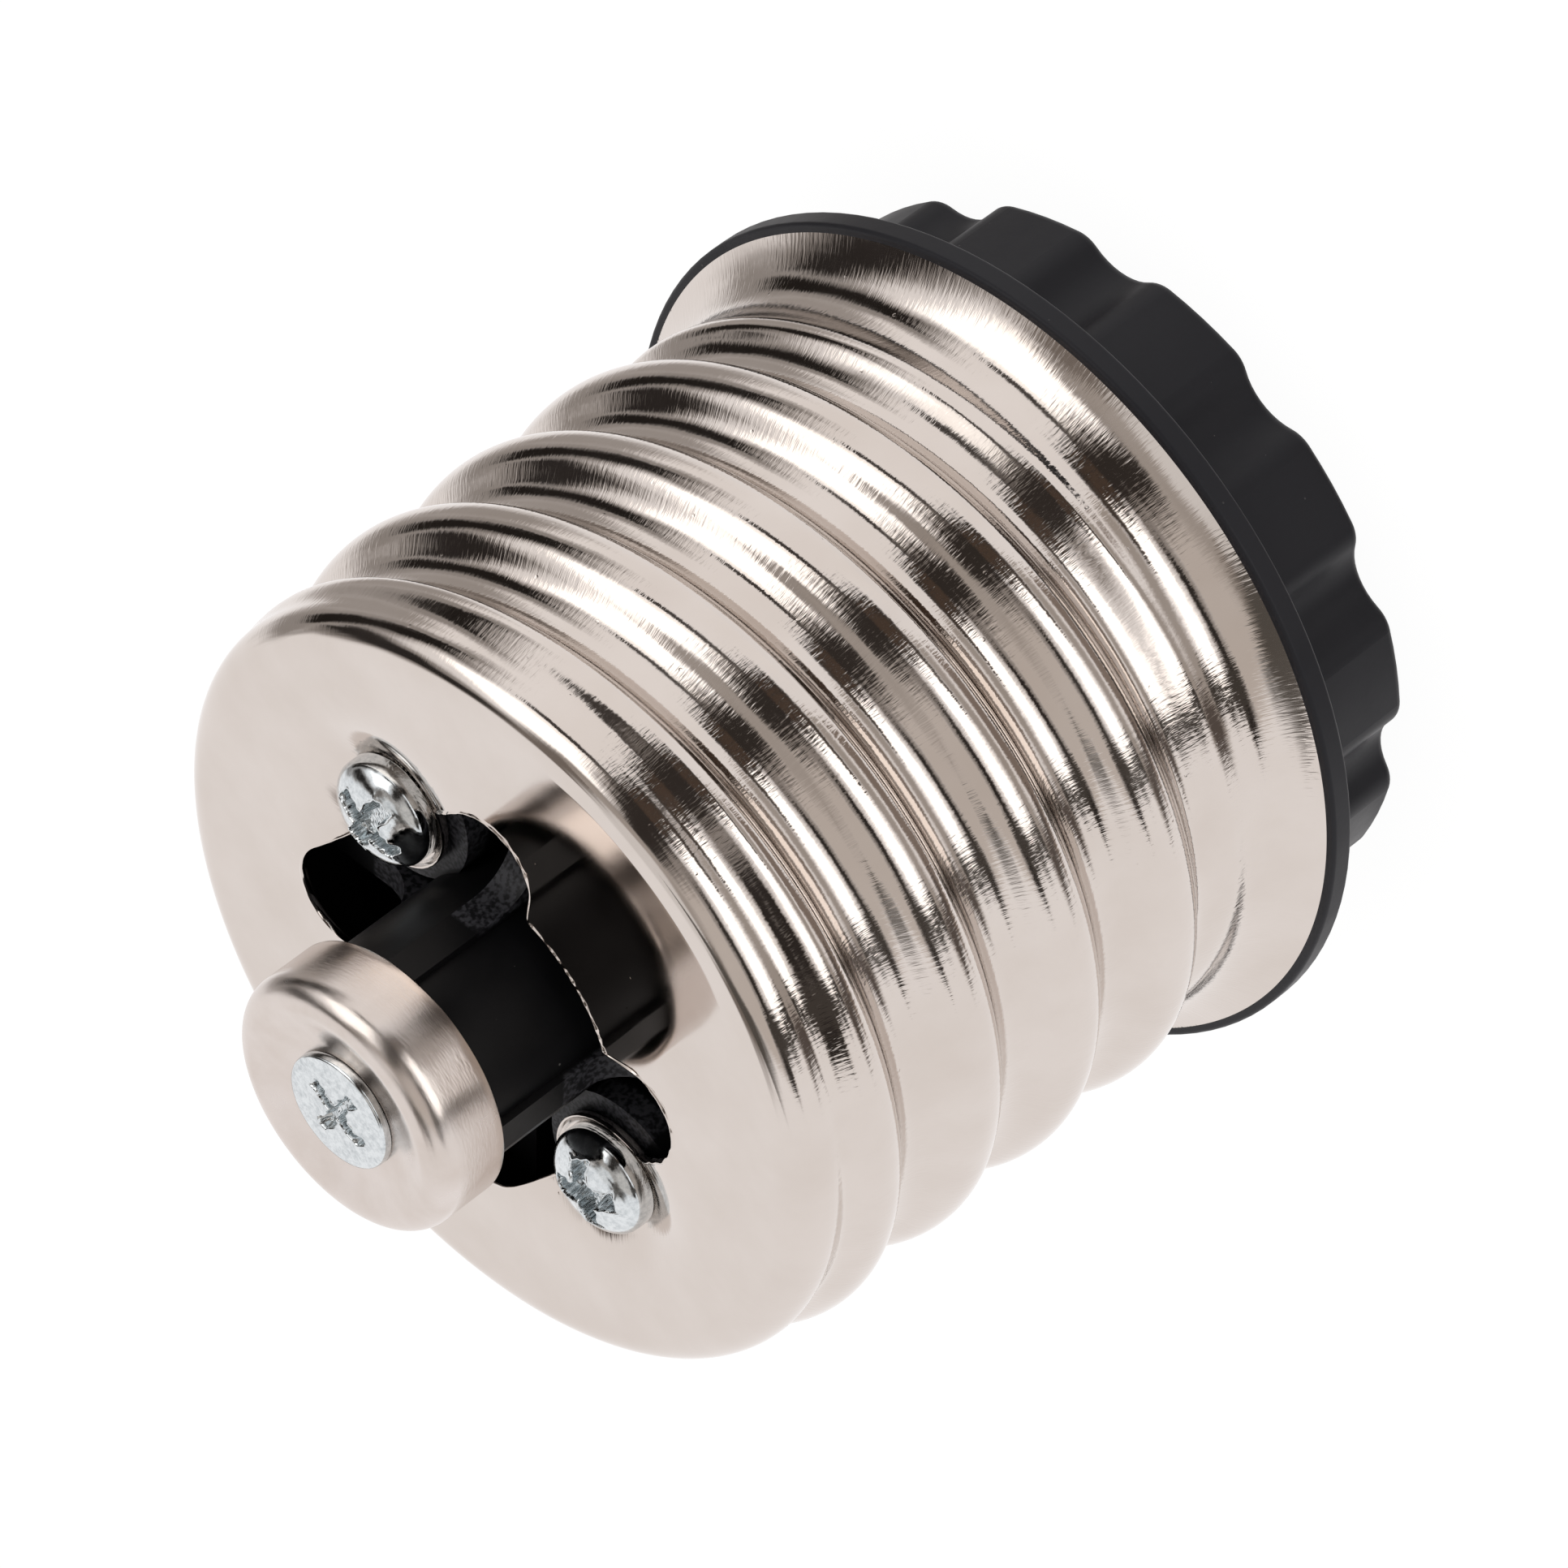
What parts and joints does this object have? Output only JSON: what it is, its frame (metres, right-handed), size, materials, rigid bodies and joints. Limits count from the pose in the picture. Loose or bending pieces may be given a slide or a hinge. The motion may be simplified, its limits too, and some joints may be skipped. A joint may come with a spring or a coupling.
{
  "type": "lamp socket adapter",
  "caption": "Screw-in adapter: large nickel-plated screw shell with end contact outside, smaller lamp socket with sprung centre contact inside a black scalloped body.",
  "frame": {"origin": "centre of the socket's mouth rim, on the screw axis, where the part stands", "axes": "+Z along the screw axis from the socket mouth to the end contact, X through the two shell screws"},
  "size_m": [0.0423, 0.0422, 0.0491],
  "materials": {
    "black_moulding": "moulded, matt black",
    "nickel_shell": "bright nickel plate",
    "nickel_socket": "bright nickel plate",
    "nickel_cap": "satin nickel plate",
    "zinc_screw": "bright zinc plate",
    "bronze_leaf": "rolled spring strip",
    "brass_rivet": "polished"
  },
  "bodies": {
    "adapter": {"insulating_body": "black_moulding", "outer_screw_shell": "nickel_shell", "inner_screw_shell": "nickel_socket", "contact_cap": "nickel_cap", "contact_screw": "zinc_screw", "contact_nut": "zinc_screw", "contact_leaf": "bronze_leaf", "shell_screw_right": "zinc_screw", "shell_screw_left": "zinc_screw", "shell_nut_right": "zinc_screw", "shell_nut_left": "zinc_screw"},
    "centre_contact": {"contact_rivet": "brass_rivet"}
  },
  "joints": [
    {"name": "centre_contact_press", "type": "slide", "parent": "adapter", "child": "centre_contact", "axis": [0, 0, 1], "range_m": [0, 0.0015], "stiffness_N_per_m": 1500, "deforming": ["contact_leaf"]}
  ]
}
